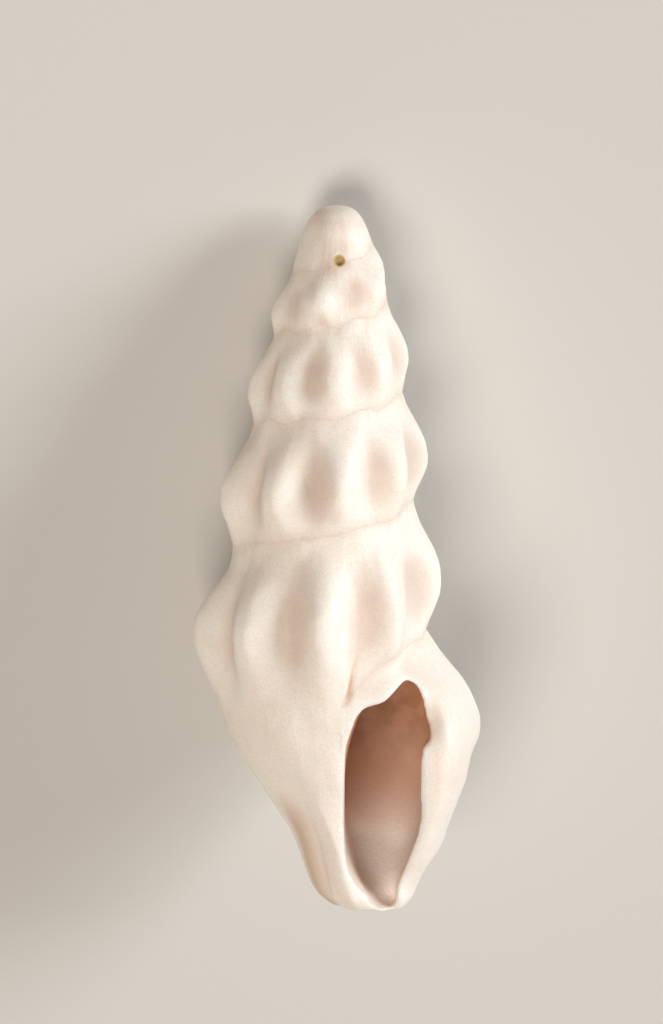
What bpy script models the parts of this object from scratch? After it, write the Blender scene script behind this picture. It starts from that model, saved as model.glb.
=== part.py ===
"""A small right-handed cerodrillia shell, lying on its back with the aperture up.

One solid, grown in one piece. All sizes are millimetres until the last step.
While it is worked out, the shell stands on its base: x to the right of the
aperture view, y away from the viewer, z towards the apex. Turns count the tube's
growth: turn 0 is at the right of the aperture view, where the last suture meets
the outer lip, and each turn runs front, left, back and right again.
"""

import math

import bmesh
import bpy
import numpy as np
from mathutils import Matrix

MM = 0.001

# Growth of the whorls, by turn: the suture's depth below the apex and its
# radius, the height of the ribs, and how far the ribs stray, in rib spacings.
TURN_KEYS = (-4.5, -4.0, -3.5, -3.0, -2.5, -2.0, -1.5, -1.0, -0.5, 0.0, 0.1, 0.17, 0.22)
SUTURE_DEPTHS = (0.22, 0.66, 1.24, 1.67, 2.35, 3.24, 3.96, 5.14, 6.22, 7.64, 7.80, 8.00, 8.60)
SUTURE_RADII = (0.46, 0.64, 0.76, 0.95, 1.02, 1.26, 1.35, 1.52, 1.64, 1.79, 1.80, 1.80, 1.80)
RIB_HEIGHTS = (0.00, 0.10, 0.18, 0.17, 0.23, 0.30, 0.42, 0.38, 0.42, 0.10, 0.00, 0.00, 0.00)
RIB_DRIFT = (0.0, -0.1, -0.35, -0.2, -0.05, 0.0, 0.1, 0.0, 0.0, 0.0, 0.0, 0.0, 0.0)
RIBS_PER_TURN = 9
RIB_PHASE = 5.0 / 360.0
RIB_LEAN = 0.022
SPIRE_RIB_SPAN = (0.06, 0.50, 0.66, 1.04)
LAST_RIB_SPAN = (0.03, 0.20, 0.26, 0.62)
LAST_RIB_STRETCH = 2.0
WHORL_SWELL = 0.05

# The smooth first whorls.
DOME_RADIUS = 0.78
DOME_DEPTH = 1.15
DOME_POWER = 0.30

# The last whorl below its suture: share of the way down to the canal's end, and
# radius, on the left of the view between two ribs, and at the lip.
SHELL_LENGTH = 12.66
CANAL_RIM = 12.61
LEFT_TURN = -0.5
LEFT_SHARES = (0.0, 0.06, 0.13, 0.24, 0.33, 0.43, 0.55, 0.64, 0.73, 0.82, 0.91, 0.965, 1.0)
LEFT_RADII = (1.64, 1.67, 1.80, 1.94, 1.92, 1.84, 1.62, 1.38, 1.12, 0.97, 0.90, 0.77, 0.46)
LIP_SHARES = (0.0, 0.09, 0.15, 0.21, 0.32, 0.44, 0.56, 0.67, 0.79, 0.85, 0.91, 0.965, 1.0)
LIP_RADII = (1.79, 2.13, 2.40, 2.60, 2.77, 2.62, 2.33, 2.00, 1.57, 1.30, 1.07, 0.86, 0.56)
YOUNGER_FALL = 0.32
YOUNGER_SPAN = (0.3, 0.9)

# The canal bends to the right: depth below the apex, and shift.
BEND_DEPTHS = (0.0, 8.8, 9.8, 10.3, 10.9, 11.5, 12.1, 12.66)
BEND_SHIFTS = (0.0, 0.0, 0.11, 0.23, 0.39, 0.59, 0.79, 0.95)

# The flat aperture face runs from the lip's edge to the columella's edge.
LIP_TURN = 0.106
COLUMELLA_TURN = 0.20
GROWTH_START = -4.2
GROWTH_END = 0.215

# Callus round the aperture, the furrow above it and the columella's fold.
CALLUS = 0.09
CALLUS_RISE = 0.35
CALLUS_FADE = (0.18, 0.215)
FURROW = 0.06
FURROW_WIDTH = 0.25
FLUSH_TURNS = (0.02, 0.15)
FLUSH_SHARES = (0.2, 0.8)
FOLD_GROOVE = 0.10
FOLD_GROOVE_TURN = 0.352 - 1.0
FOLD_GROOVE_DEPTHS = (10.3, 11.1)
FOLD_RIDGE = 0.06
FOLD_RIDGE_TURN = 0.285 - 1.0
FOLD_RIDGE_DEPTHS = (9.6, 10.9)
FOLD_WIDTH = 0.06

# The aperture's outline on that face, right of the axis and below the apex: from
# the notch at the top down the lip side, then up the columella side.
APERTURE_LIP_SIDE = (
    (1.50, 8.36), (1.65, 8.41), (1.76, 8.53), (1.86, 8.77), (1.93, 9.01), (1.96, 9.24),
    (1.90, 9.51), (1.91, 9.95), (1.89, 10.53), (1.79, 11.32), (1.62, 12.02), (1.44, 12.80),
)
APERTURE_COLUMELLA_SIDE = (
    (1.17, 12.80), (0.99, 12.29), (0.75, 12.03), (0.61, 11.79), (0.55, 11.41), (0.51, 10.84),
    (0.50, 10.06), (0.52, 9.48), (0.58, 9.00), (0.71, 8.73), (0.92, 8.64), (1.17, 8.55), (1.34, 8.45),
)
CUTTER_LEAD = 0.6
RIM_DEPTH = 0.12

# The hollow behind the aperture, from its inner end to just behind the lip. Its
# sections take one point for each point of the outline.
HOLLOW_TURNS = (-0.78, -0.5, -0.25, 0.0, 0.03)
HOLLOW_BOTTOMS = (9.9, 10.8, 11.4, 12.2, 12.35)
HOLLOW_STEPS = 13
HOLLOW_OUTER_SHARES = (0.0, 0.02, 0.06, 0.12, 0.18, 0.25, 0.33, 0.45, 0.58, 0.72, 0.86, 0.97)
HOLLOW_INNER_SHARES = (1.0, 0.97, 0.92, 0.84, 0.74, 0.61, 0.47, 0.33, 0.22, 0.14, 0.08, 0.03, 0.0)
HOLLOW_LEAN = (-0.35, 0.62)
ROOF = 0.35
WALL = 0.27
FLOOR_EXTRA = 0.3
FLOOR_SPAN = (0.7, 1.0)
COLUMELLA_RADIUS = 0.30
COLUMELLA_BEND = 0.6

# Mesh density.
COLUMNS_PER_TURN = 63
WHORL_ROWS = 7
CAP_ROWS = 3
CAP_ROW_POWER = 1.6
BASE_ROWS = 17

# How it lies: apex down, turned a little about its length, on worn rib crests.
REST_ROLL = math.radians(5.05)
REST_PITCH = math.radians(11.57)
REST_FLAT_DEPTH = 0.04

SMOOTH_ANGLE = math.radians(40.0)
CREAM = (0.83, 0.76, 0.68, 1.0)


def smooth_between(keys, values, x):
    """Value at x of a smooth curve through keys and values, without overshoot."""
    steps = np.diff(keys)
    slopes = np.diff(values) / steps
    tangents = np.concatenate(((slopes[0],), np.zeros(len(keys) - 2), (slopes[-1],)))
    for i in range(1, len(keys) - 1):
        if slopes[i - 1] * slopes[i] > 0.0:
            tangents[i] = 2.0 * slopes[i - 1] * slopes[i] / (slopes[i - 1] + slopes[i])
    x = min(max(x, keys[0]), keys[-1])
    i = min(int(np.searchsorted(keys, x, side="right")) - 1, len(steps) - 1)
    u = (x - keys[i]) / steps[i]
    blend = u * u * (3.0 - 2.0 * u)
    pull = tangents[i] * u * (1.0 - u) ** 2 - tangents[i + 1] * u * u * (1.0 - u)
    return float(values[i] * (1.0 - blend) + values[i + 1] * blend + steps[i] * pull)


def by_turn(values, turn):
    """Growth value at a turn."""
    return smooth_between(TURN_KEYS, values, turn)


def bend(depth):
    """How far the centre line lies to the right at a depth."""
    return smooth_between(BEND_DEPTHS, BEND_SHIFTS, depth)


def angle_of(turn):
    """Azimuth of a turn."""
    return -2.0 * math.pi * turn


def ramp(span, x):
    """Soft step from 0 at the span's start to 1 at its end."""
    u = min(max((x - span[0]) / (span[1] - span[0]), 0.0), 1.0)
    return u * u * (3.0 - 2.0 * u)


def bump(centre, width, x):
    """Soft bump of height 1 at centre, down to 0 a width away."""
    return 1.0 - ramp((0.0, width), abs(x - centre))


def rib(turn, share):
    """Rounded rib profile, 0 in a groove and 1 on a crest."""
    drift = by_turn(RIB_DRIFT, turn) / RIBS_PER_TURN
    phase = (turn - RIB_PHASE - drift - RIB_LEAN * (share - 0.5)) * RIBS_PER_TURN
    return 0.5 + 0.5 * math.cos(2.0 * math.pi * phase)


def rib_strength(span, share):
    """How much of a rib's height shows: rises, stays and falls over four shares."""
    return ramp(span[:2], share) * (1.0 - ramp(span[2:], share))


def spire_radius(turn, share):
    """Radius of a whorl of the spire at a share of its visible height."""
    upper = by_turn(SUTURE_RADII, turn)
    lower = by_turn(SUTURE_RADII, turn + 1.0)
    line = upper + (lower - upper) * share + WHORL_SWELL * math.sin(math.pi * share)
    return line + by_turn(RIB_HEIGHTS, turn) * rib_strength(SPIRE_RIB_SPAN, share) * rib(turn, share)


def last_whorl_line(turn, depth):
    """Radius of the last whorl at a depth, without its ribs."""
    top = by_turn(SUTURE_DEPTHS, turn)
    share = (depth - top) / (SHELL_LENGTH - top)
    lip_share = min(max(1.0 - turn / LEFT_TURN, 0.0), 1.0)
    younger = min(max(LEFT_TURN - turn, 0.0), -LEFT_TURN)
    left = smooth_between(LEFT_SHARES, LEFT_RADII, share)
    left *= 1.0 - YOUNGER_FALL * younger * (1.0 - ramp(YOUNGER_SPAN, share))
    return left * (1.0 - lip_share) + smooth_between(LIP_SHARES, LIP_RADII, share) * lip_share


def last_whorl_radius(turn, depth):
    """Radius of the last whorl at a depth, ribs included."""
    top = by_turn(SUTURE_DEPTHS, turn)
    share = (depth - top) / (SHELL_LENGTH - top)
    height = by_turn(RIB_HEIGHTS, turn) * rib_strength(LAST_RIB_SPAN, share)
    return last_whorl_line(turn, depth) + height * rib(turn, LAST_RIB_STRETCH * share)


def front_radius(turn, depth):
    """Radius of the last whorl with the columella's fold by the canal."""
    groove = FOLD_GROOVE * bump(FOLD_GROOVE_TURN, FOLD_WIDTH, turn) * ramp(FOLD_GROOVE_DEPTHS, depth)
    ridge = FOLD_RIDGE * bump(FOLD_RIDGE_TURN, FOLD_WIDTH, turn) * ramp(FOLD_RIDGE_DEPTHS, depth)
    return last_whorl_radius(turn, depth) + ridge - groove


def face_ends(depth):
    """Radius of the aperture face at the lip's edge and at the columella's edge."""
    return last_whorl_radius(LIP_TURN, depth), front_radius(COLUMELLA_TURN - 1.0, depth)


def face_radius(turn, depth):
    """Radius of the flat aperture face, on a straight line from edge to edge."""
    lip, inner = face_ends(depth)
    lip_angle = angle_of(LIP_TURN)
    inner_angle = angle_of(COLUMELLA_TURN)
    angle = angle_of(turn)
    span = lip * math.sin(lip_angle - angle) + inner * math.sin(angle - inner_angle)
    return lip * inner * math.sin(lip_angle - inner_angle) / span


def outer_radius(turn, depth):
    """Radius of the last whorl, which ends in the flat aperture face in front."""
    if turn <= 0.0:
        return front_radius(turn, depth)
    face = 0.0
    if turn <= LIP_TURN:
        face = last_whorl_radius(turn, depth)
    elif turn < COLUMELLA_TURN:
        face = face_radius(turn, depth)
    below = depth - by_turn(SUTURE_DEPTHS, turn)
    callus = CALLUS * ramp((0.0, CALLUS_RISE), below) * (1.0 - ramp(CALLUS_FADE, turn))
    furrow = FURROW * (1.0 - ramp((0.0, FURROW_WIDTH), below))
    body = front_radius(turn - 1.0, depth) + callus - furrow
    suture = by_turn(SUTURE_RADII, turn)
    if body > suture:
        body = suture + (body - suture) * ramp(FLUSH_TURNS, turn)
    return max(face, body)


def whorl_above_lip(turn, share, depth):
    """Radius of the whorl before the last, running flush into it under the lip."""
    radius = spire_radius(turn, share)
    flush = ramp(FLUSH_TURNS, turn + 1.0) * ramp(FLUSH_SHARES, share)
    return radius + (front_radius(turn, depth) - radius) * flush


def dome_radius(depth):
    """Radius of the smooth first whorls."""
    return DOME_RADIUS * (depth / DOME_DEPTH) ** DOME_POWER


def place(angle, radius, depth):
    """Point at an azimuth and radius about the bent centre line."""
    return (bend(depth) + radius * math.cos(angle), radius * math.sin(angle), -depth)


def column_points(index):
    """Points of one column, from just under the apex to the canal's end."""
    last = GROWTH_END - index / COLUMNS_PER_TURN
    angle = angle_of(last)
    first = last - math.floor(last - GROWTH_START)
    edge = by_turn(SUTURE_DEPTHS, first)
    step_in = by_turn(SUTURE_RADII, first) - dome_radius(edge)
    cap_rows = CAP_ROWS + round(WHORL_ROWS * (first - GROWTH_START))
    points = []
    for row in range(1, cap_rows):
        share = row / cap_rows
        depth = edge * share**CAP_ROW_POWER
        points.append(place(angle, dome_radius(depth) + step_in * share, depth))
    whorls = round(last - first)
    for whorl in range(whorls):
        turn = first + whorl
        upper = by_turn(SUTURE_DEPTHS, turn)
        lower = by_turn(SUTURE_DEPTHS, turn + 1.0)
        profile = whorl_above_lip if whorl == whorls - 1 and last > 0.0 else None
        for row in range(WHORL_ROWS):
            share = row / WHORL_ROWS
            depth = upper + (lower - upper) * share
            radius = profile(turn, share, depth) if profile else spire_radius(turn, share)
            points.append(place(angle, radius, depth))
    top = by_turn(SUTURE_DEPTHS, last)
    base_rows = BASE_ROWS + round(WHORL_ROWS * (GROWTH_END - last))
    for row in range(base_rows + 1):
        depth = top + (CANAL_RIM - top) * row / base_rows
        points.append(place(angle, outer_radius(last, depth), depth))
    return points


def zip_columns(bm, left, right):
    """Fill the strip between two columns of vertices with triangles, by height."""
    i = 0
    j = 0
    while i + 1 < len(left) or j + 1 < len(right):
        left_next = left[i + 1].co.z if i + 1 < len(left) else -math.inf
        right_next = right[j + 1].co.z if j + 1 < len(right) else -math.inf
        if left_next >= right_next:
            bm.faces.new((left[i], left[i + 1], right[j]))
            i += 1
        else:
            bm.faces.new((left[i], right[j + 1], right[j]))
            j += 1


def add_object(name, bm):
    """New object from a bmesh, with its faces turned outwards."""
    bmesh.ops.recalc_face_normals(bm, faces=bm.faces)
    mesh = bpy.data.meshes.new(name)
    bm.to_mesh(mesh)
    bm.free()
    thing = bpy.data.objects.new(name, mesh)
    bpy.context.scene.collection.objects.link(thing)
    return thing


def add_cutter(name, bm):
    """New object that only cuts and doesn't show."""
    cutter = add_object(name, bm)
    cutter.hide_render = True
    cutter.display_type = "WIRE"
    return cutter


def build_body():
    """The outside of the shell, closed, without its hollow."""
    bm = bmesh.new()
    apex = bm.verts.new((0.0, 0.0, 0.0))
    tip = bm.verts.new((BEND_SHIFTS[-1], 0.0, -SHELL_LENGTH))
    columns = []
    for index in range(COLUMNS_PER_TURN):
        columns.append([bm.verts.new(point) for point in column_points(index)])
    for index, column in enumerate(columns):
        after = columns[(index + 1) % COLUMNS_PER_TURN]
        bm.faces.new((apex, column[0], after[0]))
        zip_columns(bm, column, after)
        bm.faces.new((column[-1], tip, after[-1]))
    return add_object("shell", bm)


def face_y(across, depth):
    """Depth of view of the aperture face at a point of it."""
    lip, inner = face_ends(depth)
    lip_angle = angle_of(LIP_TURN)
    inner_angle = angle_of(COLUMELLA_TURN)
    inner_x = bend(depth) + inner * math.cos(inner_angle)
    lip_x = bend(depth) + lip * math.cos(lip_angle)
    share = (across - inner_x) / (lip_x - inner_x)
    inner_y = inner * math.sin(inner_angle)
    return inner_y + (lip * math.sin(lip_angle) - inner_y) * share


def mouth_loop(lead):
    """The aperture's outline, a distance in front of the aperture face."""
    points = []
    for across, depth in APERTURE_LIP_SIDE + APERTURE_COLUMELLA_SIDE:
        points.append((across, face_y(across, min(depth, CANAL_RIM)) - lead, -depth))
    return points


def hollow_loop(turn):
    """Section of the hollow at a turn, in the same order as the outline."""
    angle = angle_of(turn)
    top = by_turn(SUTURE_DEPTHS, turn) + ROOF
    height = smooth_between(HOLLOW_TURNS, HOLLOW_BOTTOMS, turn) - top
    suture = by_turn(SUTURE_RADII, turn)
    points = []
    for share in HOLLOW_OUTER_SHARES:
        depth = top + height * share
        wall = WALL * (1.0 + FLOOR_EXTRA * ramp(FLOOR_SPAN, share))
        points.append(place(angle, last_whorl_line(turn, depth) - wall, depth))
    for share in HOLLOW_INNER_SHARES:
        depth = top + height * share
        radius = suture + (COLUMELLA_RADIUS - suture) * ramp(HOLLOW_LEAN, share)
        centre = COLUMELLA_BEND * bend(depth)
        points.append((centre + radius * math.cos(angle), radius * math.sin(angle), -depth))
    return points


def build_hollow():
    """Cutter for the aperture and for the hollow that winds up behind it."""
    behind_lip = hollow_loop(HOLLOW_TURNS[-1])
    mouth = mouth_loop(-RIM_DEPTH)
    between = [0.5 * (np.array(a) + np.array(b)) for a, b in zip(mouth, behind_lip)]
    loops = [mouth_loop(CUTTER_LEAD), mouth, between]
    for turn in np.linspace(HOLLOW_TURNS[-1], HOLLOW_TURNS[0], HOLLOW_STEPS + 1):
        loops.append(hollow_loop(turn))
    bm = bmesh.new()
    rings = [[bm.verts.new(point) for point in loop] for loop in loops]
    for ring, after in zip(rings, rings[1:]):
        for i, vertex in enumerate(ring):
            j = (i + 1) % len(ring)
            bm.faces.new((vertex, ring[j], after[j], after[i]))
    bm.faces.new(rings[0])
    bm.faces.new(rings[-1])
    bmesh.ops.triangulate(bm, faces=bm.faces)
    return add_cutter("hollow", bm)


def build_ground(top):
    """Cutter for the small flats that the shell rests on."""
    bm = bmesh.new()
    bmesh.ops.create_cube(bm, size=2.0 * SHELL_LENGTH)
    bmesh.ops.translate(bm, verts=bm.verts, vec=(0.0, 0.0, top - SHELL_LENGTH))
    return add_cutter("ground", bm)


def cut(body, cutter):
    """Take the cutter's volume out of the body and drop the cutter."""
    change = body.modifiers.new("cut", "BOOLEAN")
    change.operation = "DIFFERENCE"
    change.solver = "EXACT"
    change.object = cutter
    bpy.context.view_layer.update()
    result = body.evaluated_get(bpy.context.evaluated_depsgraph_get())
    mesh = bpy.data.meshes.new_from_object(result)
    body.modifiers.clear()
    body.data = mesh
    bpy.data.objects.remove(cutter)


def lie_down():
    """Turn from standing on the base to lying on the back."""
    turn_over = Matrix(((1, 0, 0), (0, 0, 1), (0, -1, 0))).to_4x4()
    roll = Matrix.Rotation(-REST_ROLL, 4, "Y")
    pitch = Matrix.Rotation(-REST_PITCH, 4, "X")
    return pitch @ roll @ turn_over


def box_of(thing):
    """Lowest and highest coordinates of an object."""
    points = np.array([vertex.co for vertex in thing.data.vertices])
    return points.min(axis=0), points.max(axis=0)


def paint(thing):
    """Give an object its one cream material."""
    cream = bpy.data.materials.new("shell_cream")
    cream.use_nodes = True
    cream.node_tree.nodes["Principled BSDF"].inputs["Base Color"].default_value = CREAM
    thing.data.materials.clear()
    thing.data.materials.append(cream)


def main():
    """Build the shell and lay it down with its box's bottom centre at the origin."""
    for thing in list(bpy.data.objects):
        bpy.data.objects.remove(thing)
    shell = build_body()
    cut(shell, build_hollow())
    shell.data.transform(lie_down())
    low, _ = box_of(shell)
    cut(shell, build_ground(low[2] + REST_FLAT_DEPTH))
    low, high = box_of(shell)
    middle = 0.5 * (low + high)
    shell.data.transform(Matrix.Translation((-middle[0], -middle[1], -low[2])))
    shell.data.transform(Matrix.Scale(MM, 4))
    shell.data.set_sharp_from_angle(angle=SMOOTH_ANGLE)
    paint(shell)


main()
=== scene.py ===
"""The look of a cerodrillia shell: its relief, its glazed surface, floor, light and camera.

The shell is worked out in millimetres while it stands on its base, with x to the
right of the aperture view, y away from the viewer and z towards the apex. Turns
count the growth of its tube: turn 0 is at the right of that view, where the last
suture meets the outer lip, and each turn runs front, left, back and right again.
"""

import logging
import math
from collections.abc import Iterable, Mapping, Sequence
from dataclasses import dataclass
from enum import Enum
from typing import Union

import bmesh
import bpy
import numpy as np
from mathutils import Matrix, Vector
from mathutils.kdtree import KDTree

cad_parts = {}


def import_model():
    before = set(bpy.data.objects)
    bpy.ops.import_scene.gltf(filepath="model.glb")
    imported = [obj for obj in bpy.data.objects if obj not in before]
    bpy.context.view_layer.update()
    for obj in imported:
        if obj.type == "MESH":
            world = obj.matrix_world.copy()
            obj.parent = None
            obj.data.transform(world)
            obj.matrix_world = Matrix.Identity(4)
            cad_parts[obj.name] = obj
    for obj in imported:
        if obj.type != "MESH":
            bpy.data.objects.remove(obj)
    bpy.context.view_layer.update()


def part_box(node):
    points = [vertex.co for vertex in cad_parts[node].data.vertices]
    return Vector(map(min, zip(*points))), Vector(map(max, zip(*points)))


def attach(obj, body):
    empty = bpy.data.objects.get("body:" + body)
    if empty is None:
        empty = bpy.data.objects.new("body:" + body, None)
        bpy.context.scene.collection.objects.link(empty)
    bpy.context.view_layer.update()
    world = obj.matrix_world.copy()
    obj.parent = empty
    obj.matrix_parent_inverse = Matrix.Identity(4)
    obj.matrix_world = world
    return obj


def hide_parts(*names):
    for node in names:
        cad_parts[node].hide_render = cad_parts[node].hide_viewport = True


LOG = logging.getLogger("shell")
MM = 0.001
PHOTO_WIDTH = 663
PHOTO_HEIGHT = 1024
MM_PER_PIXEL = 0.01783
NOISE_MIDDLE = 0.5
# Sockets of a colour Mix node, whose names aren't unique.
MIX_BELOW = 6
MIX_ABOVE = 7


def add_node(
    tree: bpy.types.NodeTree,
    kind: str,
    inputs: Mapping[Union[int, str], object] | None = None,
    **settings: object,
) -> bpy.types.Node:
    """Add a node with its settings and links.

    Args:
        tree: The tree that gets the node.
        kind: The node's type name.
        inputs: What goes into its sockets: a value, a socket or a Field.
        settings: The node's own properties.

    Returns:
        The new node.
    """
    node = tree.nodes.new(kind)
    for name, value in settings.items():
        setattr(node, name, value)
    for key, value in (inputs or {}).items():
        if isinstance(value, Field):
            value = value.socket
        if isinstance(value, bpy.types.NodeSocket):
            tree.links.new(value, node.inputs[key])
        else:
            node.inputs[key].default_value = value
    return node


class Mark(Enum):
    """What each point of the shell carries for its finish."""

    CREST = "crest"
    GROOVE = "groove"
    SUTURE = "suture"
    GROWTH = "growth"
    DOWN = "down"
    INSET = "inset"
    FOLD = "fold"
    CALLUS = "callus"
    CREASE = "crease"
    BAY = "bay"
    BESIDE_HOLE = "beside_hole"


class Field:
    """A number that a node tree works out at every point, with arithmetic."""

    def __init__(self, tree: bpy.types.NodeTree, socket: bpy.types.NodeSocket) -> None:
        """Keep the tree and the socket that gives the number."""
        self.tree = tree
        self.socket = socket

    def math(self, operation: str, *operands: object) -> "Field":
        """A Math node of that operation on the operands."""
        node = add_node(self.tree, "ShaderNodeMath", dict(enumerate(operands)), operation=operation)
        return Field(self.tree, node.outputs[0])

    def __add__(self, other: "Number") -> "Field":
        """Sum."""
        return self.math("ADD", self, other)

    __radd__ = __add__

    def __mul__(self, other: "Number") -> "Field":
        """Product."""
        return self.math("MULTIPLY", self, other)

    __rmul__ = __mul__

    def __sub__(self, other: "Number") -> "Field":
        """Difference."""
        return self.math("SUBTRACT", self, other)

    def __rsub__(self, other: "Number") -> "Field":
        """Difference, the other way round."""
        return self.math("SUBTRACT", other, self)

    def __truediv__(self, other: "Number") -> "Field":
        """Quotient."""
        return self.math("DIVIDE", self, other)

    def __neg__(self) -> "Field":
        """Negative."""
        return self.math("MULTIPLY", self, -1.0)


Number = Union[Field, float]


def cosine(x: Number) -> Number:
    """Cosine of an angle."""
    return x.math("COSINE", x) if isinstance(x, Field) else math.cos(x)


def sine(x: Number) -> Number:
    """Sine of an angle."""
    return x.math("SINE", x) if isinstance(x, Field) else math.sin(x)


def floor_of(x: Number) -> Number:
    """Largest whole number up to x."""
    return x.math("FLOOR", x) if isinstance(x, Field) else math.floor(x)


def size_of(x: Number) -> Number:
    """Absolute value."""
    return x.math("ABSOLUTE", x) if isinstance(x, Field) else abs(x)


def within(x: Number, low: float, high: float) -> Number:
    """A number kept between two limits."""
    held = x.math("MAXIMUM", x, low) if isinstance(x, Field) else max(x, low)
    return x.math("MINIMUM", held, high) if isinstance(x, Field) else min(held, high)


def power(x: Number, exponent: float) -> Number:
    """Power of a number, taken as 0 where it is negative."""
    held = x.math("MAXIMUM", x, 0.0) if isinstance(x, Field) else max(x, 0.0)
    return x.math("POWER", held, exponent) if isinstance(x, Field) else held**exponent


def first_field(*values: Number) -> Field | None:
    """The first Field among the values, or None when all are plain numbers."""
    return next((value for value in values if isinstance(value, Field)), None)


def is_less(a: Number, b: Number) -> Number:
    """1 where a is less than b, else 0."""
    maker = first_field(a, b)
    return maker.math("LESS_THAN", a, b) if maker else float(a < b)


def choose(test: Number, yes: Number, no: Number) -> Number:
    """Yes where the test is 1, no where it is 0, a mix between."""
    return yes * test + no * (1.0 - test)


def soft_step(x: Number, span: Sequence[float]) -> Number:
    """Soft step from 0 at the span's start to 1 at its end.

    Args:
        x: The number, plain or a Field.
        span: Start and end. A start above the end makes the step fall.

    Returns:
        The step, of the same kind as x.
    """
    if isinstance(x, Field):
        limits = {"Value": x, "From Min": span[0], "From Max": span[1]}
        node = add_node(x.tree, "ShaderNodeMapRange", limits, interpolation_type="SMOOTHSTEP")
        return Field(x.tree, node.outputs["Result"])
    u = min(max((x - span[0]) / (span[1] - span[0]), 0.0), 1.0)
    return u * u * (3.0 - 2.0 * u)


def soft_bump(x: Number, centre: float, width: float) -> Number:
    """Soft bump of height 1 at centre, down to 0 a width away."""
    return 1.0 - soft_step(size_of(x - centre), (0.0, width))


def soft_larger(a: Number, b: Number, blend: float) -> Number:
    """The larger of two numbers, rounded off where they meet.

    Args:
        a: One number, plain or a Field.
        b: The other.
        blend: Difference below which they round off.

    Returns:
        The larger number, or a little more near the meeting.
    """
    maker = first_field(a, b)
    if maker:
        return maker.math("SMOOTH_MAX", a, b, blend)
    near = max(blend - abs(a - b), 0.0) / blend
    return max(a, b) + near**3 * blend / 6.0


def soft_smaller(a: Number, b: Number, blend: float) -> Number:
    """The smaller of two numbers, rounded off where they meet."""
    return -soft_larger(-a, -b, blend)


def angle_of(turn: Number) -> Number:
    """Azimuth of a turn."""
    return turn * (-2.0 * math.pi)


def place_at(middle: Number, radius: Number, angle: Number, depth: Number) -> tuple[Number, ...]:
    """Point at a radius and an azimuth about the bent centre line."""
    return middle + radius * cosine(angle), radius * sine(angle), -depth


@dataclass(frozen=True)
class Table:
    """A smooth curve through a few measured values, without overshoot.

    Attributes:
        keys: Where the values were measured, rising.
        values: The measured values.
        samples: How many stretches a node's curve gets.
    """

    keys: tuple[float, ...]
    values: tuple[float, ...]
    samples: int = 64

    def number_at(self, x: float) -> float:
        """Value at a plain number.

        Args:
            x: The number, taken as the nearest key where it lies beyond them.

        Returns:
            The value.
        """
        steps = np.diff(self.keys)
        slopes = np.diff(self.values) / steps
        tangents = np.concatenate(((slopes[0],), np.zeros(len(self.keys) - 2), (slopes[-1],)))
        for i in range(1, len(self.keys) - 1):
            if slopes[i - 1] * slopes[i] > 0.0:
                tangents[i] = 2.0 * slopes[i - 1] * slopes[i] / (slopes[i - 1] + slopes[i])
        x = min(max(x, self.keys[0]), self.keys[-1])
        i = min(int(np.searchsorted(self.keys, x, side="right")) - 1, len(steps) - 1)
        u = (x - self.keys[i]) / steps[i]
        blend = u * u * (3.0 - 2.0 * u)
        pull = tangents[i] * u * (1.0 - u) ** 2 - tangents[i + 1] * u * u * (1.0 - u)
        return float(self.values[i] * (1.0 - blend) + self.values[i + 1] * blend + steps[i] * pull)

    def at(self, x: Number) -> Number:
        """Value at x, worked out now or, for a Field, by a curve node.

        Args:
            x: A plain number or a Field.

        Returns:
            The value, of the same kind.
        """
        if not isinstance(x, Field):
            return self.number_at(x)
        low = self.keys[0]
        reach = self.keys[-1] - low
        base = min(self.values)
        height = max(self.values) - base
        node = add_node(x.tree, "ShaderNodeFloatCurve", {"Factor": 1.0, "Value": (x - low) / reach})
        line = node.mapping.curves[0]
        node.mapping.extend = "HORIZONTAL"
        for step in range(self.samples + 1):
            share = step / self.samples
            value = (self.number_at(low + reach * share) - base) / height
            if step in (0, self.samples):
                point = line.points[0 if step == 0 else -1]
                point.location = (share, value)
            else:
                point = line.points.new(share, value)
            point.handle_type = "VECTOR"
        node.mapping.update()
        return Field(x.tree, node.outputs["Value"]) * height + base


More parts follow.
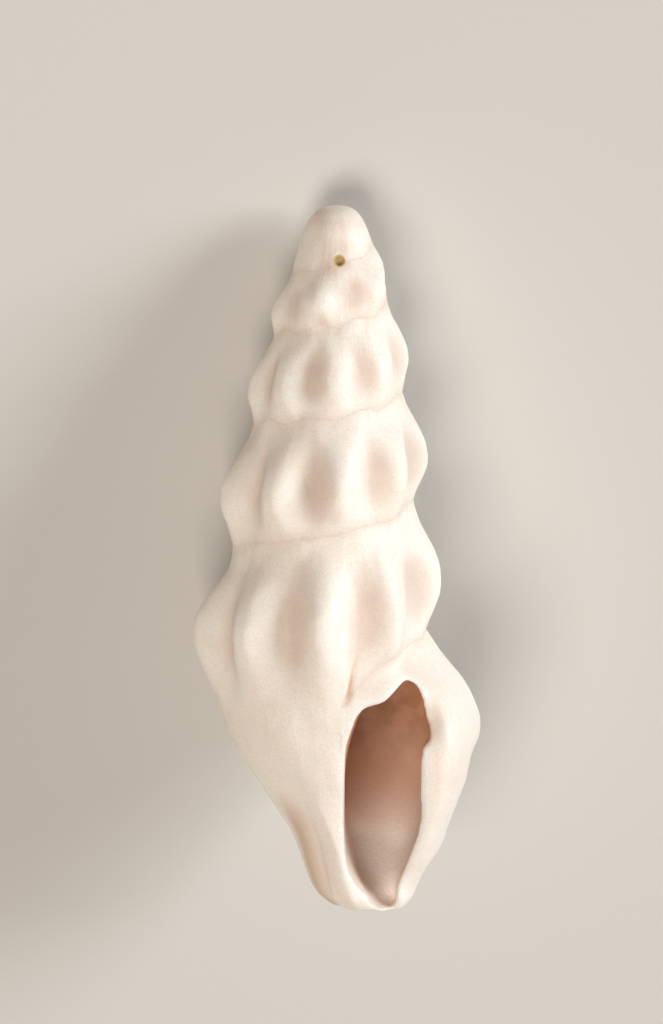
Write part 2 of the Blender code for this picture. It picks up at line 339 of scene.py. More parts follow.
@dataclass(frozen=True)
class Growth:
    """How the shell grows: its outside at any turn and depth below the apex, in millimetres."""

    # Sutures and ribs, by turn.
    turns: tuple[float, ...] = (
        -4.5, -4.0, -3.75, -3.5, -3.0, -2.5, -2.0, -1.5, -1.0, -0.5, 0.0, 0.1, 0.15, 0.18, 0.22,
    )
    suture_depths: tuple[float, ...] = (
        0.22, 0.66, 0.96, 1.24, 1.67, 2.35, 3.24, 3.96, 5.14, 6.22, 7.64, 7.74, 7.95, 8.42, 8.82,
    )
    suture_radii: tuple[float, ...] = (
        0.46, 0.64, 0.70, 0.76, 0.95, 1.02, 1.26, 1.35, 1.52, 1.64, 1.79, 1.80, 1.80, 1.80, 1.80,
    )
    rib_heights: tuple[float, ...] = (
        0.00, 0.07, 0.27, 0.15, 0.17, 0.23, 0.30, 0.42, 0.38, 0.42, 0.10, 0.00, 0.00, 0.00, 0.00,
    )
    rib_drifts: tuple[float, ...] = (
        -2.0, -1.6, -0.6, 0.1, 0.0, 0.15, -0.08, -0.05, 0.10, 0.13, 0.0, 0.0, 0.0, 0.0, 0.0,
    )
    ribs_per_turn: int = 9
    rib_phase: float = 5.0 / 360.0
    rib_lean: float = -0.010
    suture_wave: float = 0.045
    wave_end: float = -0.2
    spire_rib_span: tuple[float, ...] = (0.02, 0.54, 0.60, 1.10)
    last_rib_span: tuple[float, ...] = (0.01, 0.22, 0.24, 0.47)
    last_rib_stretch: float = 2.0
    # Spire, from the smooth first whorls to the last one.
    start: float = -4.2
    end: float = 0.215
    whorls: int = 5
    length: float = 12.66
    whorl_swell: float = 0.05
    dome_radius: float = 0.78
    dome_depth: float = 1.15
    dome_power: float = 0.30
    cap_power: float = 1.6
    # Last whorl: its radii at the left and at the lip, and the shift of its bent axis.
    left_turn: float = -0.5
    left: Table = Table(
        (0.0, 0.06, 0.13, 0.24, 0.33, 0.43, 0.55, 0.64, 0.73, 0.82, 0.91, 0.965, 1.0),
        (1.64, 1.67, 1.80, 1.94, 1.92, 1.84, 1.62, 1.38, 1.12, 0.97, 0.91, 0.84, 0.60),
    )
    lip: Table = Table(
        (0.0, 0.09, 0.15, 0.21, 0.32, 0.44, 0.56, 0.67, 0.79, 0.85, 0.91, 0.965, 1.0),
        (1.79, 2.13, 2.40, 2.60, 2.77, 2.62, 2.33, 2.00, 1.57, 1.30, 1.07, 0.86, 0.56),
    )
    centre: Table = Table(
        (0.0, 8.8, 9.8, 10.3, 10.9, 11.5, 12.1, 12.66),
        (0.0, 0.0, 0.11, 0.23, 0.39, 0.59, 0.79, 0.95),
    )
    younger_fall: float = 0.32
    younger_span: tuple[float, float] = (0.3, 0.9)
    top_blend: tuple[float, float] = (0.0, 0.25)
    # Aperture face, with the callus beside it.
    lip_turn: float = 0.106
    columella_turn: float = 0.20
    face_blend: float = 0.12
    lip_rounding: float = 0.6
    least_span: float = 0.2
    callus: float = 0.09
    callus_rise: float = 0.70
    callus_fade: tuple[float, float] = (0.18, 0.215)
    furrow: float = 0.04
    furrow_width: float = 0.70
    flush_turns: tuple[float, float] = (0.02, 0.15)
    # Fold of the columella beside the canal.
    fold_groove: float = 0.15
    fold_groove_turn: float = 0.345 - 1.0
    fold_groove_depths: tuple[float, float] = (10.3, 11.2)
    fold_ridge: float = 0.08
    fold_ridge_turn: float = 0.285 - 1.0
    fold_ridge_depths: tuple[float, float] = (9.6, 10.9)
    fold_width: float = 0.04
    fold_lean: float = 0.030
    fold_start: float = 10.9

    def by_turn(self, values: tuple[float, ...], turn: Number) -> Number:
        """Growth value at a turn."""
        return Table(self.turns, values).at(turn)

    def suture(self, turn: Number) -> Number:
        """Depth of the suture, which waves a little over the ribs' ends.

        Args:
            turn: The turn.

        Returns:
            The depth.
        """
        young = within(self.wave_end - turn, 0.0, 1.0)
        wave = self.suture_wave * young * within(turn - self.start, 0.0, 1.0)
        phase = (turn - self.rib_phase) * (self.ribs_per_turn * 2.0 * math.pi)
        return self.by_turn(self.suture_depths, turn) + wave * cosine(phase)

    def rib(self, turn: Number, share: Number) -> Number:
        """Rounded rib profile.

        Args:
            turn: The turn.
            share: Share of the way down the whorl.

        Returns:
            0 in a groove, 1 on a crest.
        """
        drift = self.by_turn(self.rib_drifts, turn) / self.ribs_per_turn
        phase = (turn - self.rib_phase - drift - (share - 0.5) * self.rib_lean) * self.ribs_per_turn
        return 0.5 + 0.5 * cosine(phase * (2.0 * math.pi))

    def rib_strength(self, span: tuple[float, ...], share: Number) -> Number:
        """How much of a rib's height shows at a share of the whorl."""
        return soft_step(share, span[:2]) * (1.0 - soft_step(share, span[2:]))

    def spire(self, turn: Number, share: Number) -> Number:
        """Radius of a whorl of the spire.

        Args:
            turn: The turn.
            share: Share of the way down the part of the whorl that shows.

        Returns:
            The radius.
        """
        upper = self.by_turn(self.suture_radii, turn)
        lower = self.by_turn(self.suture_radii, turn + 1.0)
        line = upper + (lower - upper) * share + self.whorl_swell * sine(share * math.pi)
        shown = self.rib_strength(self.spire_rib_span, share)
        height = self.by_turn(self.rib_heights, turn) * shown
        return line + height * self.rib(turn, share)

    def last_share(self, turn: Number, depth: Number) -> Number:
        """Share of the way from the suture down to the canal's end."""
        top = self.suture(turn)
        return (depth - top) / (self.length - top)

    def last_line(self, turn: Number, depth: Number) -> Number:
        """Radius of the last whorl without its ribs.

        Args:
            turn: The turn.
            depth: The depth.

        Returns:
            The radius.
        """
        share = self.last_share(turn, depth)
        to_lip = within(1.0 - turn / self.left_turn, 0.0, 1.0)
        younger = within(self.left_turn - turn, 0.0, -self.left_turn)
        fall = 1.0 - self.younger_fall * younger * (1.0 - soft_step(share, self.younger_span))
        top_edge = choose(to_lip, self.lip.values[0], self.left.values[0] * fall)
        to_suture = self.by_turn(self.suture_radii, turn) - top_edge
        line = choose(to_lip, self.lip.at(share), self.left.at(share) * fall)
        return line + to_suture * (1.0 - soft_step(share, self.top_blend))

    def last(self, turn: Number, depth: Number) -> Number:
        """Radius of the last whorl, ribs included.

        Args:
            turn: The turn.
            depth: The depth.

        Returns:
            The radius.
        """
        share = self.last_share(turn, depth)
        height = self.by_turn(self.rib_heights, turn) * self.rib_strength(self.last_rib_span, share)
        return self.last_line(turn, depth) + height * self.rib(turn, share * self.last_rib_stretch)

    def upright(self, turn: Number, depth: Number) -> Number:
        """Turn with the fold's lean taken out, so that the fold keeps to one value."""
        return turn - within(depth - self.fold_start, 0.0, self.length) * self.fold_lean

    def front(self, turn: Number, depth: Number) -> Number:
        """Radius of the last whorl with the columella's fold by the canal.

        Args:
            turn: The turn.
            depth: The depth.

        Returns:
            The radius.
        """
        upright = self.upright(turn, depth)
        groove = self.fold_groove * soft_bump(upright, self.fold_groove_turn, self.fold_width)
        ridge = self.fold_ridge * soft_bump(turn, self.fold_ridge_turn, self.fold_width)
        groove = groove * soft_step(depth, self.fold_groove_depths)
        ridge = ridge * soft_step(depth, self.fold_ridge_depths)
        return self.last(turn, depth) + ridge - groove

    def face_ends(self, depth: Number) -> tuple[Number, Number]:
        """Radii of the aperture face at its two edges.

        Args:
            depth: The depth.

        Returns:
            The radius at the lip's edge and at the columella's edge.
        """
        lip_turn = depth * 0.0 + self.lip_turn
        inner_turn = depth * 0.0 + (self.columella_turn - 1.0)
        return self.last(lip_turn, depth), self.front(inner_turn, depth)

    def face(self, turn: Number, depth: Number) -> Number:
        """Radius of the flat aperture face, on a straight line from edge to edge.

        Args:
            turn: The turn.
            depth: The depth.

        Returns:
            The radius.
        """
        lip, inner = self.face_ends(depth)
        lip_angle = angle_of(self.lip_turn)
        inner_angle = angle_of(self.columella_turn)
        angle = angle_of(turn)
        span = lip * sine(lip_angle - angle) + inner * sine(angle - inner_angle)
        span = within(span, self.least_span, self.length)
        return lip * inner * math.sin(lip_angle - inner_angle) / span

    def outer(self, turn: Number, depth: Number) -> Number:
        """Radius of the last whorl, which ends in the flat aperture face in front.

        Args:
            turn: The turn.
            depth: The depth.

        Returns:
            The radius.
        """
        lip = soft_smaller(self.last(turn, depth), self.face(turn, depth), self.lip_rounding)
        lip = lip * is_less(turn, self.columella_turn)
        below = depth - self.suture(turn)
        callus = self.callus * soft_step(below, (0.0, self.callus_rise))
        furrow = self.furrow * (1.0 - soft_step(below, (0.0, self.furrow_width)))
        added = (callus - furrow) * (1.0 - soft_step(turn, self.callus_fade))
        body = self.front(turn - 1.0, depth) + added
        suture = self.by_turn(self.suture_radii, turn)
        eased = suture + (body - suture) * soft_step(turn, self.flush_turns)
        body = choose(is_less(suture, body), eased, body)
        grown = soft_larger(lip, body, self.face_blend)
        return choose(is_less(turn, 0.0), self.front(turn, depth), grown)

    def dome(self, depth: Number) -> Number:
        """Radius of the smooth first whorls."""
        return self.dome_radius * power(depth / self.dome_depth, self.dome_power)

    def cap(self, last_turn: Number, depth: Number) -> Number:
        """Radius above the first whorl that has ribs.

        Args:
            last_turn: The turn of the last whorl on that azimuth.
            depth: The depth.

        Returns:
            The radius.
        """
        first = last_turn - floor_of(last_turn - self.start)
        edge = self.suture(first)
        step_in = self.by_turn(self.suture_radii, first) - self.dome(edge)
        return self.dome(depth) + step_in * power(depth / edge, 1.0 / self.cap_power)

    def turn_at(self, last_turn: Number, depth: Number) -> Number:
        """Turn of the whorl that shows.

        Args:
            last_turn: The turn of the last whorl on that azimuth.
            depth: The depth.

        Returns:
            The turn.
        """
        above = 0.0
        for whorl in range(self.whorls):
            above = is_less(depth, self.suture(last_turn - float(whorl))) + above
        return last_turn - above

    def on_last(self, last_turn: Number, turn: Number) -> Number:
        """1 where the whorl that shows is the last one, else 0."""
        return is_less(last_turn - 0.5, turn)

    def share_at(self, turn: Number, depth: Number) -> Number:
        """Share of the way down a whorl of the spire."""
        upper = self.suture(turn)
        return (depth - upper) / (self.suture(turn + 1.0) - upper)

    def radius(self, last_turn: Number, depth: Number) -> Number:
        """Radius of the whole outside.

        Args:
            last_turn: The turn of the last whorl on that azimuth.
            depth: The depth.

        Returns:
            The distance from the bent centre line.
        """
        turn = self.turn_at(last_turn, depth)
        spire = self.spire(turn, self.share_at(turn, depth))
        # Above the callus the youngest whorl of the spire takes on the body's own line.
        flush = soft_step(last_turn, self.flush_turns) * is_less(-1.0, turn)
        spire = choose(flush, self.front(last_turn - 1.0, depth), spire)
        spire = choose(is_less(turn, self.start), self.cap(last_turn, depth), spire)
        return choose(self.on_last(last_turn, turn), self.outer(last_turn, depth), spire)


def new_tree(name: str, inputs: Mapping[str, str]) -> tuple[bpy.types.NodeTree, bpy.types.Node]:
    """Make a geometry node tree with a mesh in and out and named inputs.

    Args:
        name: The tree's name.
        inputs: Name and socket type of each input after the mesh.

    Returns:
        The tree and its input node.
    """
    tree = bpy.data.node_groups.new(name, "GeometryNodeTree")
    tree.interface.new_socket("Mesh", in_out="INPUT", socket_type="NodeSocketGeometry")
    tree.interface.new_socket("Mesh", in_out="OUTPUT", socket_type="NodeSocketGeometry")
    for label, kind in inputs.items():
        tree.interface.new_socket(label, in_out="INPUT", socket_type=kind)
    return tree, add_node(tree, "NodeGroupInput")


def close_tree(tree: bpy.types.NodeTree, mesh: bpy.types.NodeSocket, material: object) -> None:
    """End a tree in Realize Instances and Set Material.

    Args:
        tree: The tree.
        mesh: The socket that gives the geometry.
        material: The socket that gives the material.
    """
    real = add_node(tree, "GeometryNodeRealizeInstances", {"Geometry": mesh})
    inputs = {"Geometry": real.outputs[0], "Material": material}
    painted = add_node(tree, "GeometryNodeSetMaterial", inputs)
    add_node(tree, "NodeGroupOutput", {0: painted.outputs[0]})


def run_tree(thing: bpy.types.Object, tree: bpy.types.NodeTree, values: Mapping[str, object]) -> None:
    """Run a node tree on an object and keep the result as its plain mesh.

    Args:
        thing: The object whose mesh goes in and is replaced.
        tree: The tree.
        values: A value for each named input.
    """
    change = thing.modifiers.new(tree.name, "NODES")
    change.node_group = tree
    for item in tree.interface.items_tree:
        if item.in_out == "INPUT" and item.name in values:
            change[item.identifier] = values[item.name]
    keep_result(thing)


def keep_result(thing: bpy.types.Object) -> None:
    """Turn what an object's modifiers make into its plain mesh, and drop them.

    Args:
        thing: The object.
    """
    bpy.context.view_layer.update()
    made = thing.evaluated_get(bpy.context.evaluated_depsgraph_get())
    mesh = bpy.data.meshes.new_from_object(made)
    thing.modifiers.clear()
    thing.data = mesh


def cut(thing: bpy.types.Object, cutter: bpy.types.Object) -> None:
    """Take a cutter's shape out of an object.

    Args:
        thing: The object.
        cutter: The cutter, which is removed.
    """
    change = thing.modifiers.new("cut", "BOOLEAN")
    change.operation = "DIFFERENCE"
    change.solver = "EXACT"
    change.object = cutter
    keep_result(thing)
    bpy.data.objects.remove(cutter)


def add_object(name: str, data: bpy.types.ID) -> bpy.types.Object:
    """Put a mesh, a lamp or a camera into the scene.

    Args:
        name: The object's name.
        data: The mesh, lamp or camera.

    Returns:
        The object, at the origin.
    """
    thing = bpy.data.objects.new(name, data)
    bpy.context.scene.collection.objects.link(thing)
    return thing


def mesh_of(name: str, bm: bmesh.types.BMesh) -> bpy.types.Mesh:
    """Turn a bmesh into a plain mesh, with its faces turned outwards.

    Args:
        name: The mesh's name.
        bm: The bmesh, which is freed.

    Returns:
        The mesh.
    """
    bmesh.ops.recalc_face_normals(bm, faces=bm.faces)
    mesh = bpy.data.meshes.new(name)
    bm.to_mesh(mesh)
    bm.free()
    return mesh


def points_of(mesh: bpy.types.Mesh) -> np.ndarray:
    """Read a mesh's points.

    Args:
        mesh: The mesh.

    Returns:
        The points, one per row.
    """
    points = np.empty(len(mesh.vertices) * 3)
    mesh.vertices.foreach_get("co", points)
    return points.reshape(-1, 3)


def move_points(mesh: bpy.types.Mesh, points: np.ndarray) -> None:
    """Give a mesh's points new places, one per row."""
    mesh.vertices.foreach_set("co", points.ravel())
    mesh.update()


def relax(mesh: bpy.types.Mesh, weights: np.ndarray, rounds: int) -> None:
    """Move points towards the middle of their neighbours.

    Args:
        mesh: The mesh to smooth.
        weights: Share of the way that each point goes in a round.
        rounds: How many rounds.
    """
    count = len(mesh.vertices)
    points = points_of(mesh)
    edges = np.empty(len(mesh.edges) * 2, dtype=np.int64)
    mesh.edges.foreach_get("vertices", edges)
    left, right = edges.reshape(-1, 2).T
    degree = np.bincount(edges, minlength=count).clip(1)[:, None]
    for _ in range(rounds):
        total = np.zeros_like(points)
        for axis in range(3):
            total[:, axis] += np.bincount(left, points[right, axis], count)
            total[:, axis] += np.bincount(right, points[left, axis], count)
        points += (total / degree - points) * weights[:, None]
    move_points(mesh, points)


def distances(points: np.ndarray, targets: Iterable[Sequence[float]]) -> np.ndarray:
    """Measure how far points are from some targets.

    Args:
        points: The points, one per row.
        targets: The targets.

    Returns:
        The distance from each point to the nearest target.
    """
    targets = list(targets)
    tree = KDTree(len(targets))
    for i, target in enumerate(targets):
        tree.insert(target, i)
    tree.balance()
    return np.array([tree.find(point)[2] for point in points])


def spline(a: np.ndarray, b: np.ndarray, c: np.ndarray, d: np.ndarray, steps: int) -> np.ndarray:
    """Refine stretches of a smooth curve.

    Args:
        a: The point before each stretch.
        b: Where each stretch starts.
        c: Where it ends.
        d: The point after it.
        steps: How many points each stretch gets.

    Returns:
        The points of each stretch, its start included and its end left out.
    """
    bend = 2.0 * a - 5.0 * b + 4.0 * c - d
    twist = 3.0 * b - a - 3.0 * c + d
    shares = (step / steps for step in range(steps))
    return np.stack([b + 0.5 * u * ((c - a) + u * (bend + u * twist)) for u in shares], axis=1)


def closed_spline(points: np.ndarray, steps: int) -> np.ndarray:
    """Refine a closed loop of points along a smooth curve through them.

    Args:
        points: The points, one per row.
        steps: How many points each stretch gets.

    Returns:
        The refined loop.
    """
    before = np.roll(points, 1, axis=0)
    after = np.roll(points, -1, axis=0)
    further = np.roll(points, -2, axis=0)
    return spline(before, points, after, further, steps).reshape(-1, points.shape[-1])


def open_spline(points: np.ndarray, steps: int) -> np.ndarray:
    """Refine a row of points, or of whole loops, along a smooth curve through them.

    Args:
        points: The points or loops, in order.
        steps: How many points or loops each stretch gets.

    Returns:
        The refined row, its last point included.
    """
    before = np.concatenate((points[:1], points[:-2]))
    after = points[1:]
    further = np.concatenate((points[2:], points[-1:]))
    fine = spline(before, points[:-1], after, further, steps)
    return np.concatenate((fine.reshape((-1,) + points.shape[1:]), points[-1:]))


@dataclass(frozen=True)
class Outside:
    """The closed outside of the shell, grown by a node tree from a plain grid.

    Unevenness is noise read on a cylinder, so that it meets itself after a turn.
    """

    growth: Growth
    columns: int = 270
    rows: int = 420
    apex_rounding: float = 0.05
    waves: float = 1.1
    wave_detail: float = 2.0
    wave_radius: float = 2.0
    uneven: float = 0.16
    uneven_depths: tuple[float, float] = (0.2, 1.2)
    tip_share: float = 0.985
    seam_gap: float = 1e-5

    def tree(self) -> bpy.types.NodeTree:
        """Node tree that bends a grid into the outside by the growth rule.

        Returns:
            The tree.
        """
        grow = self.growth
        inputs = {
            "Columns": "NodeSocketInt",
            "Rows": "NodeSocketInt",
            "Waves per mm": "NodeSocketFloat",
            "Unevenness": "NodeSocketFloat",
            "Material": "NodeSocketMaterial",
        }
        tree, given = new_tree("shell growth", inputs)
        sizes = {"Vertices X": given.outputs["Columns"], "Vertices Y": given.outputs["Rows"]}
        grid = add_node(tree, "GeometryNodeMeshGrid", sizes)
        place = add_node(tree, "ShaderNodeSeparateXYZ", {0: grid.outputs["UV Map"]})
        last_turn = grow.end - Field(tree, place.outputs[0])
        down = Field(tree, place.outputs[1])
        depth = self.depth_at(within(down / self.tip_share, 0.0, 1.0))
        closing = within((1.0 - down) / (1.0 - self.tip_share), 0.0, 1.0)
        angle = angle_of(last_turn)
        round_axis = {0: cosine(angle) * self.wave_radius, 1: sine(angle) * self.wave_radius, 2: depth}
        even = add_node(tree, "ShaderNodeCombineXYZ", round_axis)
        waves = {"Vector": even.outputs[0], "Scale": given.outputs["Waves per mm"]}
        wave = add_node(tree, "ShaderNodeTexNoise", waves | {"Detail": self.wave_detail})
        height = Field(tree, given.outputs["Unevenness"])
        uneven = (Field(tree, wave.outputs["Fac"]) - NOISE_MIDDLE) * height
        ramp = soft_step(depth, self.uneven_depths)
        radius = (grow.radius(last_turn, depth) + uneven * ramp) * closing
        spot = place_at(grow.centre.at(depth), radius, angle, depth)
        point = add_node(tree, "ShaderNodeCombineXYZ", dict(enumerate(spot)))
        moves = {"Geometry": grid.outputs["Mesh"], "Position": point.outputs[0]}
        moved = add_node(tree, "GeometryNodeSetPosition", moves)
        joins = {"Geometry": moved.outputs[0], "Distance": self.seam_gap}
        closed = add_node(tree, "GeometryNodeMergeByDistance", joins)
        close_tree(tree, closed.outputs[0], given.outputs["Material"])
        return tree

    def depth_at(self, share: Number) -> Number:
        """Depth of a row, with the rows closer together at the apex.

        Args:
            share: Share of the way down the grid.

        Returns:
            The depth.
        """
        soft = self.apex_rounding
        reach = math.sqrt(1.0 + soft * soft) - soft
        return (power(share * share + soft * soft, 0.5) - soft) * (self.growth.length / reach)

    def build(self) -> bpy.types.Object:
        """Grow the outside.

        Returns:
            The object, with a plain closed mesh in millimetres.
        """
        thing = add_object("shell_body", bpy.data.meshes.new("seed"))
        values = {
            "Columns": self.columns + 1,
            "Rows": self.rows + 1,
            "Waves per mm": self.waves,
            "Unevenness": self.uneven,
        }
        run_tree(thing, self.tree(), values)
        bm = bmesh.new()
        bm.from_mesh(thing.data)
        thing.data = mesh_of("outside", bm)
        return thing


@dataclass(frozen=True)
class Hollow:
    """The aperture and the hollow that winds up behind it, as a cutter."""

    growth: Growth
    # Outline of the aperture, across and down, along the lip and back up the columella.
    lip_side: tuple[tuple[float, float], ...] = (
        (1.52, 8.30), (1.63, 8.34), (1.72, 8.43), (1.79, 8.56), (1.85, 8.77), (1.90, 8.97),
        (1.96, 9.13), (1.94, 9.29), (1.85, 9.43), (1.82, 9.62), (1.82, 9.90), (1.84, 10.34),
        (1.86, 10.73), (1.82, 11.10), (1.74, 11.38), (1.63, 11.79), (1.54, 12.13), (1.48, 12.40),
        (1.43, 12.72),
    )
    columella_side: tuple[tuple[float, float], ...] = (
        (1.08, 12.72), (0.95, 12.50), (0.81, 12.36), (0.70, 12.17), (0.61, 11.93), (0.56, 11.71),
        (0.52, 11.37), (0.50, 10.94), (0.49, 10.36), (0.48, 9.93), (0.50, 9.48), (0.58, 9.19),
        (0.63, 9.02), (0.70, 8.88), (0.79, 8.79), (0.91, 8.74), (1.05, 8.70), (1.19, 8.62),
        (1.31, 8.49), (1.41, 8.38),
    )
    lead: float = 0.6
    rim_depth: float = 0.12
    deepest: float = 12.61
    rise: float = 0.2
    rise_depths: tuple[float, float] = (11.4, 12.8)
    # Sections behind it, by turn, with the wall left round them.
    turns: tuple[float, ...] = (-0.78, -0.5, -0.25, 0.0, 0.03)
    bottoms: tuple[float, ...] = (9.9, 10.6, 11.15, 11.9, 12.2)
    stations: int = 13
    ease: float = 0.85
    lowest_share: float = 0.97
    roof: float = 0.35
    wall: float = 0.27
    floor_extra: float = 1.1
    floor_span: tuple[float, float] = (0.6, 1.0)
    back: float = 0.5
    back_low: float = 0.60
    back_turns: tuple[float, float] = (0.0, 0.22)
    back_span: tuple[float, float] = (0.3, 0.9)
    lean: tuple[float, float] = (-0.35, 0.62)
    columella_radius: float = 0.30
    columella_bend: float = 0.6
    loop_steps: int = 4
    station_steps: int = 5
    ease_rings: tuple[float, float] = (2.0, 8.0)
    ease_weight: float = 0.5
    ease_rounds: int = 25

    def face_point(self, across: float, depth: float, lead: float) -> tuple[float, float, float]:
        """Point of the aperture face, or a distance in front of it.

        Args:
            across: How far right the point lies.
            depth: The depth.
            lead: The distance towards the viewer.

        Returns:
            The point.
        """
        held = min(depth, self.deepest)
        lip, inner = self.growth.face_ends(held)
        lip_angle = angle_of(self.growth.lip_turn)
        inner_angle = angle_of(self.growth.columella_turn)
        middle = self.growth.centre.at(held)
        inner_x = middle + inner * math.cos(inner_angle)
        lip_x = middle + lip * math.cos(lip_angle)
        share = (across - inner_x) / (lip_x - inner_x)
        inner_y = inner * math.sin(inner_angle)
        back = inner_y + (lip * math.sin(lip_angle) - inner_y) * share
        return across, back - lead, -depth

    def mouth(self, lead: float) -> np.ndarray:
        """Outline of the aperture on its face, or a distance in front of it.

        Args:
            lead: The distance. Behind the face, where it is negative, the canal's end rises.

        Returns:
            The points, one per row.
        """
        points = []
        for across, depth in self.lip_side + self.columella_side:
            x, y, z = self.face_point(across, depth, lead)
            lift = self.rise * soft_step(depth, self.rise_depths) if lead < 0.0 else 0.0
            points.append((x, y, z + lift))
        return np.array(points)

    def shares(self, side: Sequence[tuple[float, float]]) -> np.ndarray:
        """How far down a section the points of one side of the outline go on.

        Args:
            side: The points of that side.

        Returns:
            A share for each point, from 0 at the section's top to 1 at its bottom.
        """
        depths = np.array([depth for _, depth in side])
        top = self.lip_side[0][1]
        return ((depths - top) / (self.lip_side[-1][1] - top)).clip(0.0) ** self.ease

    def section(self, turn: float) -> np.ndarray:
        """Section of the hollow, in the same order as the outline.

        Args:
            turn: The turn.

        Returns:
            The points, one per row.
        """
        grow = self.growth
        angle = angle_of(turn)
        top = grow.by_turn(grow.suture_depths, turn) + self.roof
        height = Table(self.turns, self.bottoms).at(turn) - top
        suture = grow.by_turn(grow.suture_radii, turn)
        points = []
        for share in self.shares(self.lip_side):
            depth = top + height * share * self.lowest_share
            wall = self.wall * (1.0 + self.floor_extra * soft_step(share, self.floor_span))
            back = self.back + self.back_low * soft_step(share, self.back_span)
            wall += back * soft_step(-turn, self.back_turns)
            radius = grow.last_line(turn, depth) - wall
            points.append(place_at(grow.centre.at(depth), radius, angle, depth))
        for share in self.shares(self.columella_side):
            depth = top + height * share
            radius = suture + (self.columella_radius - suture) * soft_step(share, self.lean)
            middle = self.columella_bend * grow.centre.at(depth)
            points.append(place_at(middle, radius, angle, depth))
        return np.array(points)

    def rim(self) -> np.ndarray:
        """Fine outline of the aperture on its face."""
        return closed_spline(self.mouth(0.0), self.loop_steps)

    def build(self) -> bpy.types.Object:
        """Loft the cutter through its sections.

        Returns:
            The cutter object.
        """
        behind_lip = self.section(self.turns[-1])
        mouth = self.mouth(-self.rim_depth)
        loops = [self.mouth(self.lead), mouth, 0.5 * (mouth + behind_lip)]
        for turn in np.linspace(self.turns[-1], self.turns[0], self.stations + 1):
            loops.append(self.section(float(turn)))
        fine = np.array([closed_spline(loop, self.loop_steps) for loop in loops])
        fine = np.concatenate((fine[:1], open_spline(fine[1:], self.station_steps)))
        bm = bmesh.new()
        rings = [[bm.verts.new(point) for point in loop] for loop in fine]
        for ring, after in zip(rings, rings[1:]):
            for i, vertex in enumerate(ring):
                j = (i + 1) % len(ring)
                bm.faces.new((vertex, ring[j], after[j], after[i]))
        bm.faces.new(rings[0])
        bm.faces.new(rings[-1])
        bmesh.ops.triangulate(bm, faces=bm.faces)
        mesh = mesh_of("hollow", bm)
        ring_of = np.arange(len(mesh.vertices)) // fine.shape[1]
        eased = np.interp(ring_of, self.ease_rings, (0.0, self.ease_weight))
        relax(mesh, eased, self.ease_rounds)
        return add_object("hollow", mesh)


@dataclass(frozen=True)
class Fissure:
    """The crease where the callus above the aperture ends on the whorl before.

    Attributes:
        growth: The growth rule.
        turns: Turns along the crease.
        depths: Depths along the crease.
        width: Its half width.
        sink: Its greatest depth.
        stages: Shares of the way down it, for the strengths.
        strengths: How deep it is there, from its faint top to its closed end.
        steps: How many points each stretch gets.
    """

    growth: Growth
    turns: tuple[float, ...] = (0.190, 0.196, 0.200, 0.206, 0.213)
    depths: tuple[float, ...] = (7.75, 8.03, 8.45, 8.65, 8.80)
    width: float = 0.055
    sink: float = 0.11
    stages: tuple[float, ...] = (0.0, 0.75, 0.9, 1.0)
    strengths: tuple[float, ...] = (0.1, 1.0, 0.5, 0.0)
    steps: int = 12

    def line(self) -> np.ndarray:
        """Run along the crease, on the outside of the shell.

        Returns:
            The points, one per row.
        """
        points = []
        for turn, depth in zip(self.turns, self.depths):
            radius = self.growth.outer(turn, depth)
            points.append(place_at(self.growth.centre.at(depth), radius, angle_of(turn), depth))
        return open_spline(np.array(points), self.steps)

    def pressed(self, points: np.ndarray) -> np.ndarray:
        """How strongly the crease shows.

        Args:
            points: The points, one per row.

        Returns:
            A share for each point, 1 where the crease is deepest.
        """
        start, end = self.depths[0], self.depths[-1]
        down = (-points[:, 2] - start) / (end - start)
        away = distances(points, self.line())
        return np.interp(down, self.stages, self.strengths) * np.exp(-((away / self.width) ** 2))

    def press(self, mesh: bpy.types.Mesh) -> None:
        """Press the crease into a mesh, towards the bent centre line.

        Args:
            mesh: The mesh, finer than the crease.
        """
        points = points_of(mesh)
        middles = np.zeros_like(points)
        middles[:, 0] = [self.growth.centre.at(depth) for depth in -points[:, 2]]
        middles[:, 2] = points[:, 2]
        inwards = middles - points
        inwards /= np.linalg.norm(inwards, axis=1).clip(self.width)[:, None]
        points += inwards * (self.sink * self.pressed(points))[:, None]
        move_points(mesh, points)


@dataclass(frozen=True)
class Bay:
    """The shallow bay in the lip beside the aperture's top."""

    middle: tuple[float, float] = (1.98, 9.0)
    width: float = 0.32
    length: float = 0.50
    sink: float = 0.20

    def sunk(self, points: np.ndarray) -> np.ndarray:
        """How far the bay goes in on the front of the shell.

        Args:
            points: The points, one per row.

        Returns:
            The distance for each point, in millimetres.
        """
        across = (points[:, 0] - self.middle[0]) / self.width
        along = (-points[:, 2] - self.middle[1]) / self.length
        return self.sink * (points[:, 1] < 0.0) * np.exp(-(across**2) - along**2)

    def press(self, mesh: bpy.types.Mesh) -> None:
        """Press the bay into a fine mesh.

        Args:
            mesh: The mesh.
        """
        points = points_of(mesh)
        points[:, 1] += self.sunk(points)
        move_points(mesh, points)


